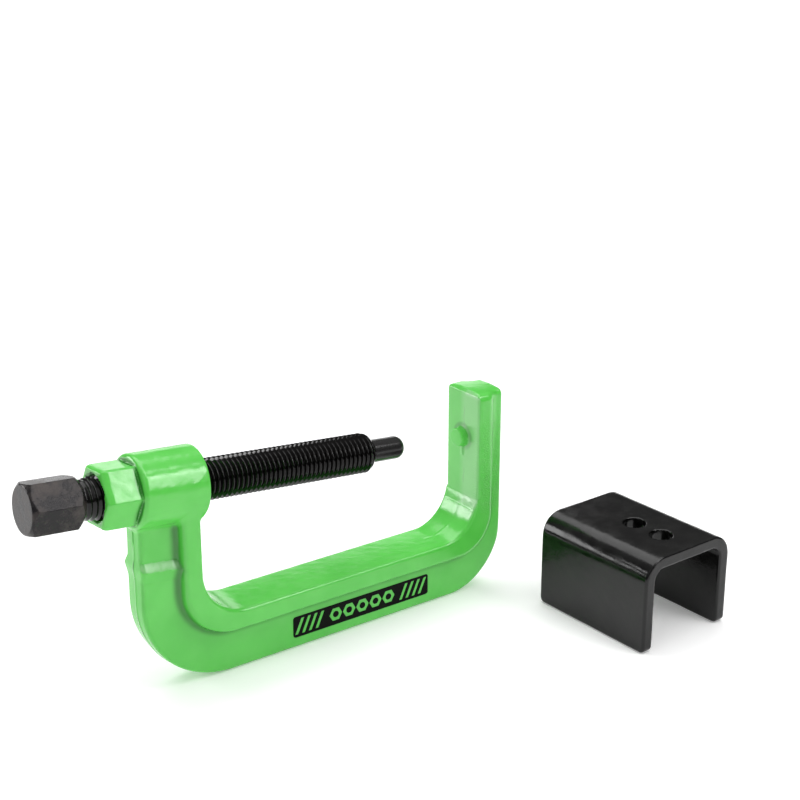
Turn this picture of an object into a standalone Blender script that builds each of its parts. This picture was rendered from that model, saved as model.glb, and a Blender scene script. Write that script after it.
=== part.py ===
"""Ball joint separator: a forged C-frame press with a forcing screw, and its U-shaped spacer adapter.

Metres, +Z up. X runs along the throat from the screw to the anvil arm, Y across the forging.
The origin is the middle of the flat foot under the spine.
"""

from math import cos, pi, radians, sin, sqrt, tan

import bmesh
import bpy
from mathutils import Matrix, Vector

MM = 0.001
GAP = 0.3 * MM  # left between pieces that touch, and round those that run in a hole
CLEAR = 10 * MM  # how far a cutter runs past the metal

# The throat: the boss's rear face and the anvil pad stand the same distance from the origin.
THROAT_HALF = 88 * MM
SPINE_TOP = 37.6 * MM
ARM_TOP = 123 * MM

# T-section of the forging: an inner flange, and a narrower web outside it.
FLANGE_HALF_WIDTH = 14.9 * MM
FLANGE_EDGE = 1.8 * MM
LEG_FLANGE = 11.7 * MM
SPINE_FLANGE = 12.6 * MM
ARM_FLANGE = 12 * MM
WEB_HALF_WIDTH = 8.2 * MM
WEB_EDGE = 2.2 * MM
LEG_DEPTH = 32.4 * MM
ARM_DEPTH = 21 * MM
LEG_LEAN = radians(0.9)  # the leg's outer face moves towards the arm with height
LEG_INNER_X = -91.7 * MM
LEG_INNER_RADIUS = 26 * MM
ARM_INNER_RADIUS = 24 * MM
HEEL_RADIUS = 52 * MM
TOE_RADIUS = 35 * MM
LEG_GROOVE_RADIUS = 31 * MM
ARM_GROOVE_RADIUS = 25 * MM
WEB_ROOT = 5 * MM  # how deep the web runs into the flange
WEB_TOP_DROP = 1.5 * MM  # the arm's top is lower at the web

# The lip across the leg's web: half width at the web, half width at the lip, and three heights.
LIP_ROOT = 8 * MM
LIP_HALF_WIDTH = 10.6 * MM
LIP_LOW = 62.5 * MM
LIP_MIDDLE = 70.2 * MM
LIP_HIGH = 75 * MM
LIP_OUT = 0.7 * MM  # how far it stands out of the leg's outer face
LIP_INTO_FLANGE = 3 * MM

# Machined pad on the arm.
PAD_CUT = 1 * MM
PAD_BOTTOM = 59 * MM

# The screw's axis: it starts at the boss's rear face and dips towards the arm.
AXIS_HEIGHT = 109.8 * MM
AXIS_DIP = radians(5)

# Boss and wrench collar, as stations along the axis from the boss's rear face.
BOSS_RADIUS = 19.4 * MM
BOSS_FRONT = -36.4 * MM
BOSS_CHAMFER = 1.6 * MM
SHOULDER = 3 * MM  # chamfer where the boss steps down to the collar
SHOULDER_PAST = 1 * MM  # the collar side of that chamfer
COLLAR_ACROSS_FLATS = 30.4 * MM
COLLAR_FRONT = -55.3 * MM
COLLAR_EDGE = 1.8 * MM
COLLAR_TURN = radians(-24)
MOUTH_RADIUS = 12.4 * MM
MOUTH_DEPTH = 1 * MM

# Forcing screw: 7/8 inch nine-pitch thread and a 1 inch hexagon.
THREAD_RADIUS = 11.11 * MM
SCREW_END = 110.2 * MM
SCREW_END_RADIUS = 7.3 * MM
SCREW_END_CHAMFER = 4 * MM
HEAD_ACROSS_FLATS = 25.4 * MM
HEAD_FRONT = -92.4 * MM
HEAD_REAR = -64.3 * MM
HEAD_FACE_RADIUS = 12 * MM
HEAD_CHAMFER = 1.6 * MM
HEAD_TURN = radians(-17.8)
NECK_RADIUS = 10 * MM
NECK_END = -57 * MM
THREAD_LEAD_IN = 2 * MM
HEAD_OVERLAP = 3 * MM  # how far the shank runs into the head

# What the screw's nose holds.
NOSE_RADIUS = 6.35 * MM
NOSE_TIP = 132.2 * MM
NOSE_ROUND = 5 * MM
NOSE_BORE_RADIUS = NOSE_RADIUS + GAP
NOSE_BORE_BOTTOM = 89 * MM
BALL_RADIUS = 4.76 * MM
RING_STATION = 104 * MM
RING_HALF_WIDTH = 0.7 * MM
RING_INNER_RADIUS = 5.8 * MM
RING_OUTER_RADIUS = 7.3 * MM

# Locating pin pressed into the anvil pad on the screw's axis.
PIN_RADIUS = 5.2 * MM
PIN_OUT = 5 * MM
PIN_IN = 12 * MM
PIN_CHAMFER = 1 * MM

# Decal on the front of the spine.
LABEL_LENGTH = 92 * MM
LABEL_HEIGHT = 12.5 * MM
LABEL_THICKNESS = 0.2 * MM
LABEL_CENTRE_X = 11 * MM
LABEL_CENTRE_Z = 12.9 * MM

# Spacer adapter: bent quarter-inch plate with two holes that drop over the locating pin.
ADAPTER_LENGTH = 82 * MM
ADAPTER_WIDTH = 65.8 * MM
ADAPTER_HEIGHT = 54.9 * MM
ADAPTER_PLATE = 7.2 * MM
ADAPTER_BEND = 13.5 * MM
ADAPTER_EDGE = 0.8 * MM
ADAPTER_HOLE_RADIUS = 6.45 * MM
ADAPTER_HOLES_FROM_FRONT = (21.3 * MM, 41.6 * MM)
ADAPTER_CENTRE = Vector((145.4 * MM, -84.3 * MM, 0))
ADAPTER_TURN = radians(1.7)

ROUND_STEPS = 40
ARC_STEPS = 10

GREEN_ENAMEL = (0.138, 0.631, 0.117)
BLACK_OXIDE = (0.012, 0.012, 0.012)
DARK_STEEL = (0.075, 0.07, 0.072)
BRIGHT_STEEL = (0.55, 0.55, 0.56)
PRINT_BLACK = (0.005, 0.005, 0.005)


def clear_scene():
    for obj in list(bpy.data.objects):
        bpy.data.objects.remove(obj, do_unlink=True)


def material(name, colour, roughness, metallic):
    made = bpy.data.materials.new(name)
    made.use_nodes = True
    shader = made.node_tree.nodes["Principled BSDF"]
    shader.inputs["Base Color"].default_value = (*colour, 1)
    shader.inputs["Roughness"].default_value = roughness
    shader.inputs["Metallic"].default_value = metallic
    return made


def add_object(name, shape, finish, parent=None):
    """An object holding the bmesh, with its faces turned outwards and its round sides smooth."""
    bmesh.ops.recalc_face_normals(shape, faces=shape.faces)
    mesh = bpy.data.meshes.new(name)
    shape.to_mesh(mesh)
    shape.free()
    mesh.materials.append(finish)
    mesh.shade_smooth()
    mesh.set_sharp_from_angle(angle=radians(35))
    obj = bpy.data.objects.new(name, mesh)
    bpy.context.scene.collection.objects.link(obj)
    obj.parent = parent
    return obj


def combine(target, helper, operation):
    """Joins a hidden helper to the target, or cuts it away."""
    helper.hide_render = True
    helper.display_type = "WIRE"
    step = target.modifiers.new(helper.name, "BOOLEAN")
    step.operation = operation
    step.solver = "EXACT"
    step.object = helper


def arc(centre_x, centre_z, radius, start, end, steps=ARC_STEPS):
    """Points round an arc in the XZ plane; angles in degrees from +X towards +Z."""
    points = []
    for i in range(steps + 1):
        angle = radians(start + (end - start) * i / steps)
        points.append((centre_x + radius * cos(angle), centre_z + radius * sin(angle)))
    return points


def plate(outline, low_y, high_y, edge=0.0):
    """An outline in XZ, extruded across Y, with the long edges bevelled."""
    shape = bmesh.new()
    face = shape.faces.new([shape.verts.new((x, low_y, z)) for x, z in outline])
    grown = bmesh.ops.extrude_face_region(shape, geom=[face])
    moved = [item for item in grown["geom"] if isinstance(item, bmesh.types.BMVert)]
    bmesh.ops.translate(shape, verts=moved, vec=(0, high_y - low_y, 0))
    if edge:
        rims = [e for e in shape.edges if abs(e.verts[0].co.y - e.verts[1].co.y) < edge / 10]
        bmesh.ops.bevel(shape, geom=rims, offset=edge, segments=2, profile=0.5, affect="EDGES")
    return shape


def turned(profile, steps=ROUND_STEPS):
    """A profile of (radius, station) points spun about the local Z axis."""
    shape = bmesh.new()
    verts = [shape.verts.new((radius, 0, station)) for radius, station in profile]
    edges = [shape.edges.new(pair) for pair in zip(verts, verts[1:])]
    if profile[0][0] and profile[-1][0]:
        edges.append(shape.edges.new((verts[-1], verts[0])))
    bmesh.ops.spin(shape, geom=verts + edges, axis=(0, 0, 1), cent=(0, 0, 0), steps=steps, angle=2 * pi)
    bmesh.ops.remove_doubles(shape, verts=shape.verts, dist=MM / 100)
    return shape


def hexagon(across_flats, low, high, turn, edge=0.0):
    """A hexagonal bar along local Z; turn is measured from the top of the bar towards +Y."""
    shape = bmesh.new()
    bmesh.ops.create_cone(
        shape,
        cap_ends=True,
        segments=6,
        radius1=across_flats / sqrt(3),
        radius2=across_flats / sqrt(3),
        depth=high - low,
        matrix=Matrix.Translation((0, 0, (low + high) / 2)) @ Matrix.Rotation(pi - turn, 4, "Z"),
    )
    if edge:
        bmesh.ops.bevel(shape, geom=list(shape.edges), offset=edge, segments=2, profile=0.5, affect="EDGES")
    return shape


def corner_line(leg_face_x, arm_face_x, spine_z, leg_radius, arm_radius, lean=0):
    """A line down the leg, along the spine and up the arm, with a round corner at each end."""
    leg_z = spine_z + leg_radius
    arm_z = spine_z + arm_radius
    points = [(leg_face_x + (AXIS_HEIGHT - leg_z) * tan(lean), AXIS_HEIGHT)]
    points += arc(leg_face_x + leg_radius, leg_z, leg_radius, 180, 270)
    points += arc(arm_face_x - arm_radius, arm_z, arm_radius, 270, 360)
    points.append((arm_face_x, ARM_TOP))
    return points


def frame_finish():
    return material("green_enamel", GREEN_ENAMEL, 0.22, 0.0)


def make_flange(finish):
    inner_x = THROAT_HALF - PAD_CUT
    inner = corner_line(LEG_INNER_X, inner_x, SPINE_TOP, LEG_INNER_RADIUS, ARM_INNER_RADIUS)
    outer = corner_line(
        LEG_INNER_X - LEG_FLANGE,
        THROAT_HALF + ARM_FLANGE,
        SPINE_TOP - SPINE_FLANGE,
        LEG_GROOVE_RADIUS,
        ARM_GROOVE_RADIUS,
    )
    shape = plate(inner + outer[::-1], -FLANGE_HALF_WIDTH, FLANGE_HALF_WIDTH, FLANGE_EDGE)
    return add_object("c_frame", shape, finish)


def make_web(finish):
    leg_outer_x = LEG_INNER_X - LEG_DEPTH
    outer = corner_line(leg_outer_x, THROAT_HALF + ARM_DEPTH, 0, HEEL_RADIUS, TOE_RADIUS, LEG_LEAN)
    root = corner_line(
        LEG_INNER_X - WEB_ROOT,
        THROAT_HALF + WEB_ROOT,
        SPINE_TOP - WEB_ROOT,
        LEG_INNER_RADIUS,
        ARM_INNER_RADIUS,
    )
    outer[-1] = (outer[-1][0], ARM_TOP - WEB_TOP_DROP)
    root[-1] = (root[-1][0], ARM_TOP - WEB_TOP_DROP)
    shape = plate(outer + root[::-1], -WEB_HALF_WIDTH, WEB_HALF_WIDTH, WEB_EDGE)
    return add_object("web", shape, finish)


def make_lip(finish):
    """A swelling across the leg's web on both sides, with a sloping step above it."""
    side = [(LIP_ROOT, LIP_LOW), (LIP_HALF_WIDTH, LIP_MIDDLE), (LIP_ROOT, LIP_HIGH)]
    section = side + [(-y, z) for y, z in reversed(side)]
    low_x = LEG_INNER_X - LEG_DEPTH - LIP_OUT
    high_x = LEG_INNER_X - LEG_FLANGE + LIP_INTO_FLANGE
    shape = bmesh.new()
    face = shape.faces.new([shape.verts.new((low_x, y, z)) for y, z in section])
    grown = bmesh.ops.extrude_face_region(shape, geom=[face])
    moved = [item for item in grown["geom"] if isinstance(item, bmesh.types.BMVert)]
    bmesh.ops.translate(shape, verts=moved, vec=(high_x - low_x, 0, 0))
    return add_object("lip", shape, finish)


def box(name, low, high, finish, parent=None):
    shape = bmesh.new()
    size = Vector(high) - Vector(low)
    middle = (Vector(high) + Vector(low)) / 2
    place = Matrix.Translation(middle) @ Matrix.Diagonal((*size, 1))
    bmesh.ops.create_cube(shape, size=1, matrix=place)
    return add_object(name, shape, finish, parent)


def make_c_frame(axis, finish):
    """The forging: flange, web, boss and wrench collar in one piece, with its tapped bore and pin hole."""
    frame = make_flange(finish)
    combine(frame, make_web(finish), "UNION")
    combine(frame, make_lip(finish), "UNION")
    collar = hexagon(COLLAR_ACROSS_FLATS, COLLAR_FRONT, BOSS_FRONT + SHOULDER, COLLAR_TURN, COLLAR_EDGE)
    combine(frame, add_object("collar", collar, finish, axis), "UNION")
    boss = turned(
        [
            (0, BOSS_FRONT - SHOULDER_PAST),
            (BOSS_RADIUS - SHOULDER, BOSS_FRONT - SHOULDER_PAST),
            (BOSS_RADIUS, BOSS_FRONT + SHOULDER / 2),
            (BOSS_RADIUS, -BOSS_CHAMFER),
            (BOSS_RADIUS - BOSS_CHAMFER, 0),
            (0, 0),
        ]
    )
    combine(frame, add_object("boss", boss, finish, axis), "UNION")
    bore_radius = THREAD_RADIUS + GAP
    bore = turned(
        [
            (0, COLLAR_FRONT - CLEAR),
            (MOUTH_RADIUS, COLLAR_FRONT - CLEAR),
            (MOUTH_RADIUS, COLLAR_FRONT + MOUTH_DEPTH),
            (bore_radius, COLLAR_FRONT + 2 * MOUTH_DEPTH),
            (bore_radius, CLEAR),
            (0, CLEAR),
        ]
    )
    combine(frame, add_object("tapped_bore", bore, finish, axis), "DIFFERENCE")
    pad_low = (0, -FLANGE_HALF_WIDTH - CLEAR, PAD_BOTTOM)
    pad_high = (THROAT_HALF, FLANGE_HALF_WIDTH + CLEAR, ARM_TOP + CLEAR)
    combine(frame, box("pad_cut", pad_low, pad_high, finish), "DIFFERENCE")
    radius = PIN_RADIUS + GAP
    hole = turned([(0, -PIN_IN - GAP), (radius, -PIN_IN - GAP), (radius, CLEAR), (0, CLEAR)])
    hole_object = add_object("pin_hole", hole, finish)
    place_on_pad(hole_object)
    combine(frame, hole_object, "DIFFERENCE")
    return frame


def place_on_pad(obj):
    """Stands a turned piece on the anvil pad, with its local +Z pointing into the throat."""
    obj.location = (THROAT_HALF, 0, AXIS_HEIGHT - 2 * THROAT_HALF * tan(AXIS_DIP))
    obj.rotation_euler = (0, -pi / 2, 0)


def make_locating_pin():
    finish = material("painted_pin", GREEN_ENAMEL, 0.25, 0.0)
    profile = [(0, -PIN_IN), (PIN_RADIUS, -PIN_IN), (PIN_RADIUS, PIN_OUT - PIN_CHAMFER)]
    profile += [(PIN_RADIUS - PIN_CHAMFER, PIN_OUT), (0, PIN_OUT)]
    pin = add_object("locating_pin", turned(profile, 28), finish)
    place_on_pad(pin)


def make_label():
    front_y = -WEB_HALF_WIDTH - GAP - LABEL_THICKNESS
    low = (LABEL_CENTRE_X - LABEL_LENGTH / 2, front_y, LABEL_CENTRE_Z - LABEL_HEIGHT / 2)
    high = (LABEL_CENTRE_X + LABEL_LENGTH / 2, front_y + LABEL_THICKNESS, LABEL_CENTRE_Z + LABEL_HEIGHT / 2)
    box("frame_label", low, high, material("print_black", PRINT_BLACK, 0.3, 0.0))


def make_forcing_screw(axis):
    finish = material("black_oxide", BLACK_OXIDE, 0.3, 0.9)
    shank = turned(
        [
            (0, HEAD_REAR - HEAD_OVERLAP),
            (NECK_RADIUS, HEAD_REAR - HEAD_OVERLAP),
            (NECK_RADIUS, NECK_END),
            (THREAD_RADIUS, NECK_END + THREAD_LEAD_IN),
            (THREAD_RADIUS, SCREW_END - SCREW_END_CHAMFER),
            (SCREW_END_RADIUS, SCREW_END),
            (NOSE_BORE_RADIUS, SCREW_END),
            (NOSE_BORE_RADIUS, RING_STATION + RING_HALF_WIDTH + GAP),
            (RING_OUTER_RADIUS + GAP, RING_STATION + RING_HALF_WIDTH + GAP),
            (RING_OUTER_RADIUS + GAP, RING_STATION - RING_HALF_WIDTH - GAP),
            (NOSE_BORE_RADIUS, RING_STATION - RING_HALF_WIDTH - GAP),
            (NOSE_BORE_RADIUS, NOSE_BORE_BOTTOM),
            (0, NOSE_BORE_BOTTOM),
        ]
    )
    screw = add_object("forcing_screw", shank, finish, axis)
    corner = HEAD_ACROSS_FLATS / sqrt(3) + GAP
    outline = [(0, HEAD_FRONT), (HEAD_FACE_RADIUS, HEAD_FRONT), (corner, HEAD_FRONT + HEAD_CHAMFER)]
    outline += [(corner, HEAD_REAR - HEAD_CHAMFER), (HEAD_FACE_RADIUS, HEAD_REAR), (0, HEAD_REAR)]
    head = add_object("head_blank", turned(outline), finish, axis)
    bar = hexagon(HEAD_ACROSS_FLATS, HEAD_FRONT - CLEAR, HEAD_REAR + CLEAR, HEAD_TURN)
    combine(head, add_object("head_bar", bar, finish, axis), "INTERSECT")
    combine(screw, head, "UNION")


def make_nose(axis):
    """The thrust pin that swivels in the screw's nose, the ball it bears on and the ring that keeps it in."""
    steel = material("bright_steel", BRIGHT_STEEL, 0.15, 1.0)
    ball = bmesh.new()
    middle = NOSE_BORE_BOTTOM + GAP + BALL_RADIUS
    place = Matrix.Translation((0, 0, middle))
    bmesh.ops.create_icosphere(ball, subdivisions=3, radius=BALL_RADIUS, matrix=place)
    add_object("thrust_ball", ball, steel, axis)
    groove_radius = RING_INNER_RADIUS - GAP
    groove_half = RING_HALF_WIDTH + GAP
    profile = [(0, middle + BALL_RADIUS + GAP), (NOSE_RADIUS, middle + BALL_RADIUS + GAP)]
    profile += [(NOSE_RADIUS, RING_STATION - groove_half), (groove_radius, RING_STATION - groove_half)]
    profile += [(groove_radius, RING_STATION + groove_half), (NOSE_RADIUS, RING_STATION + groove_half)]
    tip_flat = NOSE_RADIUS - NOSE_ROUND
    for i in range(7):
        angle = radians(90 * i / 6)
        profile.append((tip_flat + NOSE_ROUND * cos(angle), NOSE_TIP - NOSE_ROUND + NOSE_ROUND * sin(angle)))
    profile.append((0, NOSE_TIP))
    add_object("thrust_pin", turned(profile, 32), material("satin_black", DARK_STEEL, 0.4, 0.8), axis)
    low, high = RING_STATION - RING_HALF_WIDTH, RING_STATION + RING_HALF_WIDTH
    section = [(RING_INNER_RADIUS, low), (RING_OUTER_RADIUS, low), (RING_OUTER_RADIUS, high)]
    section.append((RING_INNER_RADIUS, high))
    add_object("retaining_ring", turned(section, 28), steel, axis)


def make_adapter():
    finish = material("black_coat", BLACK_OXIDE, 0.15, 0.2)
    place = bpy.data.objects.new("adapter_place", None)
    bpy.context.scene.collection.objects.link(place)
    place.location = ADAPTER_CENTRE
    place.rotation_euler = (0, 0, ADAPTER_TURN)
    half = ADAPTER_WIDTH / 2
    inner_half = half - ADAPTER_PLATE
    inner_bend = ADAPTER_BEND - ADAPTER_PLATE
    outer_z = ADAPTER_HEIGHT - ADAPTER_BEND
    outline = [(half, 0)]
    outline += arc(half - ADAPTER_BEND, outer_z, ADAPTER_BEND, 0, 90, 6)
    outline += arc(ADAPTER_BEND - half, outer_z, ADAPTER_BEND, 90, 180, 6)
    outline += [(-half, 0), (-inner_half, 0)]
    outline += arc(inner_bend - inner_half, outer_z, inner_bend, 180, 90, 4)
    outline += arc(inner_half - inner_bend, outer_z, inner_bend, 90, 0, 4)
    outline.append((inner_half, 0))
    shape = plate(outline, -ADAPTER_LENGTH / 2, ADAPTER_LENGTH / 2, ADAPTER_EDGE)
    adapter = add_object("spacer_adapter", shape, finish, place)
    for number, distance in enumerate(ADAPTER_HOLES_FROM_FRONT, 1):
        low = ADAPTER_HEIGHT - ADAPTER_PLATE - CLEAR
        high = ADAPTER_HEIGHT + CLEAR
        profile = [(0, low), (ADAPTER_HOLE_RADIUS, low), (ADAPTER_HOLE_RADIUS, high), (0, high)]
        hole = add_object(f"adapter_hole_{number}", turned(profile, 32), finish, place)
        hole.location = (0, distance - ADAPTER_LENGTH / 2, 0)
        combine(adapter, hole, "DIFFERENCE")


def main():
    clear_scene()
    axis = bpy.data.objects.new("screw_axis", None)
    bpy.context.scene.collection.objects.link(axis)
    axis.location = (-THROAT_HALF, 0, AXIS_HEIGHT)
    axis.rotation_euler = (0, pi / 2 + AXIS_DIP, 0)
    make_c_frame(axis, frame_finish())
    make_locating_pin()
    make_label()
    make_forcing_screw(axis)
    make_nose(axis)
    make_adapter()


main()
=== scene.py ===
"""Ball joint separator: the looks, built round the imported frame.

Shapes are worked out in millimetres, in the CAD's own axes, and turned into metres when a mesh is made.
Most pieces are solids given by a signed distance (negative inside), because that is how a forging looks:
every edge is a small radius and every inside corner is a fillet. surface_mesh() turns one into a mesh.
"""

from math import cos, pi, radians, sin, sqrt, tan

import bmesh
import bpy
import numpy as np
from mathutils import Matrix, Vector


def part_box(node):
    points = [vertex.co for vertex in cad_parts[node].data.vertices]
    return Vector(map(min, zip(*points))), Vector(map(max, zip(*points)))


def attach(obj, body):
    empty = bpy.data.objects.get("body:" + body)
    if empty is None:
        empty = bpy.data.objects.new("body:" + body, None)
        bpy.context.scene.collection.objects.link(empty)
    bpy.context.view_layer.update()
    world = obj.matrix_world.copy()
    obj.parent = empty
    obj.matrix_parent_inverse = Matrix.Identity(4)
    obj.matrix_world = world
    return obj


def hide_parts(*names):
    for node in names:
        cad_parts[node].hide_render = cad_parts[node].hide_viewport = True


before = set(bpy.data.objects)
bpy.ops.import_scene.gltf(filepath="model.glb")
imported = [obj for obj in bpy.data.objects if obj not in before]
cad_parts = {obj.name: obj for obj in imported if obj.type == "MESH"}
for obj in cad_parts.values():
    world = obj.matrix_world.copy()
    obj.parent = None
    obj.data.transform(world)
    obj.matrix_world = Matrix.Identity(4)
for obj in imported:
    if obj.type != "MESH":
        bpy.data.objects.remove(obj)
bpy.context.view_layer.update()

MM = 0.001
FAR = 50.0  # a distance that leaves a shape unchanged

# The throat, as in the CAD: leg on the left, spine below, anvil arm on the right.
PAD_X = 88.0
PAD_BOTTOM = 59.0
ARM_INNER_X = 86.9
SPINE_TOP = 37.6
ARM_TOP = 123.2
LEG_INNER_X = -91.7
LEG_LEAN = radians(0.9)  # of the leg's outer face
LEAN_FROM_Z = 63.5
ON_LEG_X = -100.0  # the web left of this is the leg's
ON_ARM_X = 60.0  # what is right of this is the arm and its corner
PAD_SLOPE = (0.41, 0.912)  # the direction that the slope under the pad faces, as its z and x parts
PAD_SLOPE_DEPTH = 6.0
LEG_INNER_RADIUS = 26.0
ARM_INNER_RADIUS = 24.0

# Flange: the wide inner part of the T-section.
FLANGE_HALF_WIDTH = 14.9
FLANGE_INNER_EDGE = 2.0
FLANGE_OUTER_EDGE = 2.2
FLANGE_CROWN = 0.0012
LEG_FLANGE = 11.7
SPINE_FLANGE = 12.6
ARM_FLANGE = 12.0
LEG_GROOVE_RADIUS = 31.0
ARM_GROOVE_RADIUS = 25.0

# Web: the narrow outer part.
WEB_HALF_WIDTH = 8.2
LIP_Z = 70.2
LIP_X = -112.0
LIP_TILT = 0.13
LIP_OUTLINE = ((-20, WEB_HALF_WIDTH), (-6.6, 8.4), (0, 10.6), (4.8, 8.0))  # height above the lip, half width
LIP_SWELL = 0.8  # how far the leg's outer edge swells at the lip
WEB_EDGE = 2.1
WEB_ROOT = 5.0
WEB_FILLET = 2.6
ROOT_REACH = 3.0  # how far the painted shade reaches round the root between web and flange
LEG_DEPTH = 32.4
ARM_DEPTH = 21.0
HEEL_RADIUS = 52.0
TOE_RADIUS = 35.0
DRAFT = tan(radians(3.0))  # the dies part in the middle plane, so faces lean away from it
GROOVE_DRAFT = tan(radians(12.0))

SEAM_Y = -1.3  # the flash line runs a little in front of the middle
SEAM_HEIGHT = 0.25
CRACK_DEPTH = 0.7

# Arm top: crowned, with its throat-side edge bevelled.
ARM_TOP_CROWN = 0.004
ARM_TOP_EDGE = 4.5
BEVEL_OFFSET = 2.0
CAP_HALF_DEPTH = 7.0
CAP_HEIGHT = 20.0
PAD_EDGE = 2.2

# Screw axis: starts in the boss's rear face and dips towards the arm.
AXIS_X = -88.0
AXIS_Z = 109.8
AXIS_DIP = radians(5.0)

BOSS_RADIUS = 19.4
BOSS_FRONT = -36.7
BOSS_SWELL = 0.3
BOSS_REAR_EDGE = 1.3
BOSS_FRONT_EDGE = 2.4
BOSS_FILLET = 2.4
COLLAR_HALF_FLATS = 15.2
COLLAR_FRONT = -55.3
COLLAR_EDGE = 0.8
COLLAR_CHAMFER = (0.909, 0.42)  # the direction that the chamfer faces, as its outward and forward parts
COLLAR_CHAMFER_LENGTH = 2.4
COLLAR_TURN = radians(-24.0)
BORE_RADIUS = 11.41
MOUTH_RADIUS = 12.5
MOUTH_DEPTH = 1.8
BORE_EDGE = 0.35

PIN_RADIUS = 5.3
PIN_OUT = 5.0
PIN_HIDDEN = 11.5
PIN_FLARE = 1.4
RUN_BELOW = (10.5, 5.5)  # the paint run's lower and upper ends, below the pin's axis
RUN_WIDTH = 0.9
PIN_Z = AXIS_Z - (PAD_X - AXIS_X) * tan(AXIS_DIP)

THREAD_PITCH = 25.4 / 9
THREAD_RADIUS = 11.11
THREAD_DEPTH = 0.6 * THREAD_PITCH
THREAD_ROOT = 0.2  # the share of a pitch that is flat at the root
THREAD_FLANKS = 0.77  # the share that the two flanks take
THREAD_DEEPENS = (-69.0, -50.0)
THREAD_WIDENS = (-67.0, -55.0)
NECK_START = -68.0
NECK_RADIUS = 9.9
SCREW_END = 110.2
SCREW_END_CHAMFER = 4.0
HEAD_HALF_FLATS = 12.7
HEAD_FRONT = -92.4
HEAD_REAR = -63.7
HEAD_FACE_RADIUS = 12.0
HEAD_REAR_DROP = 1.3  # how much smaller the rear face's radius is
HEAD_FRONT_CHAMFER = 1.05  # how much the radius grows for each mm from the end
HEAD_REAR_CHAMFER = 1.02
HEAD_EDGE = 0.25
HEAD_END_EDGE = 0.3
HEAD_TURN = radians(-17.8)
NOSE_RADIUS = 6.35
NOSE_TIP = 132.2
NOSE_ROUND = 5.0
NOSE_HIDDEN = 99.0

ADAPTER_LENGTH = 82.0
ADAPTER_WIDTH = 65.8
ADAPTER_HEIGHT = 54.9
ADAPTER_PLATE = 7.2
ADAPTER_BEND = 13.5
ADAPTER_EDGE = 1.3
ADAPTER_CORNER = 3.2
ADAPTER_HOLE_RADIUS = 6.45
ADAPTER_HOLES = (21.3, 41.6)
ADAPTER_HOLE_EDGE = 0.5
ADAPTER_CENTRE = (145.4, -84.3)
ADAPTER_TURN = radians(1.7)

# The label's printed bar: hatching at both ends, and a row of nuts left open.
LABEL_CORNER = 1.6
LABEL_MARGIN = 1.6
LABEL_HALF_THICKNESS = 0.24
HATCH_CENTRE = 10.5  # from the bar's end
HATCH_HALF_LENGTH = 9.0
HATCH_PITCH = 4.4
HATCH_HALF_WIDTH = 1.0
HATCH_SLANT = 0.45
NUT_PITCH = 9.0
NUTS_EACH_SIDE = 2
NUT_HALF_FLATS = 3.7
NUT_HOLE_RADIUS = 1.9

FORGING_BOX = ((-146, 113), (-22, 22), (-3, 136))
FORGING_STEPS = (0.85, 1.6)
SEAM_BAND = (-2.0, 2.0)  # where the grid is finer, and how much finer
SEAM_FINENESS = 0.42
HEAD_BOX = ((-184, -148), (-17, 17), (96, 138))
HEAD_STEPS = (0.6, 1.0)
ADAPTER_BOX = ((107, 182), (-130, -39), (-2, 59))
ADAPTER_STEPS = (1.0, 2.0)
LABEL_STEPS = (0.35, 0.6)

# Studio, in metres and watts. Each softbox has its place, its aim, its size, its power and the direction
# of its height.
UPRIGHT = (0, 0, 1)
SOFTBOXES = {
    "key_right": ((0.44, -0.85, 0.74), (-0.105, 0, 0.11), (0.21, 0.8), 2.9, (0.17, 0.6, 0.785)),
    "edge_right": ((0.62, -0.58, 0.85), (0.0, 0, 0.04), (0.34, 0.22), 1.5, UPRIGHT),
    "top_front": ((0.20, -0.32, 1.05), (-0.17, 0, 0.115), (0.4, 0.4), 2.0, UPRIGHT),
    "fill_left": ((-1.15, -0.35, 0.75), (0, 0, 0.05), (0.8, 0.8), 1.15, UPRIGHT),
    "fill_back": ((-0.86, 0.95, 0.46), (0.08, 0, 0.05), (0.55, 0.45), 5.6, UPRIGHT),
    "back_right": ((0.60, 1.36, 0.42), (-0.14, 0, 0.12), (1.2, 0.45), 2.4, UPRIGHT),
}
OVERHEAD_STRENGTH = 1.5
OVERHEAD_SPREAD = radians(55)
OVERHEAD_TURN = (radians(-20), radians(4), 0)
SKY_RISE = (0.35, 0.9)  # how high the world starts to brighten, and where it stops
SKY_STRENGTH = (0.14, 0.55)  # below and above those heights
FLOOR_HALF = 6.0
FLOOR_Z = -0.0002

CAMERA_PLACE = (-0.4489, -0.6668, 0.4243)
CAMERA_TURN = (radians(70.19), 0, radians(-36.43))
CAMERA_LENS = 71.87
CAMERA_SENSOR = 36.0


# ---------------------------------------------------------------- solids as signed distances


def round_max(a, b, radius):
    """What two solids share, with the edge between them rounded."""
    corner = np.hypot(np.maximum(a + radius, 0), np.maximum(b + radius, 0))
    return np.minimum(np.maximum(a, b), -radius) + corner


def round_min(a, b, radius):
    """Two solids joined, with a fillet between them."""
    corner = np.hypot(np.maximum(radius - a, 0), np.maximum(radius - b, 0))
    return np.maximum(np.minimum(a, b), radius) - corner


def bump(value, centre, width):
    """A smooth hump: 1 at centre and fading over width."""
    return np.exp(-(((value - centre) / width) ** 2))


def ramp(value, low, high):
    """0 below low, 1 above high, and smooth between them."""
    t = np.clip((value - low) / (high - low), 0, 1)
    return t * t * (3 - 2 * t)


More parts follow.
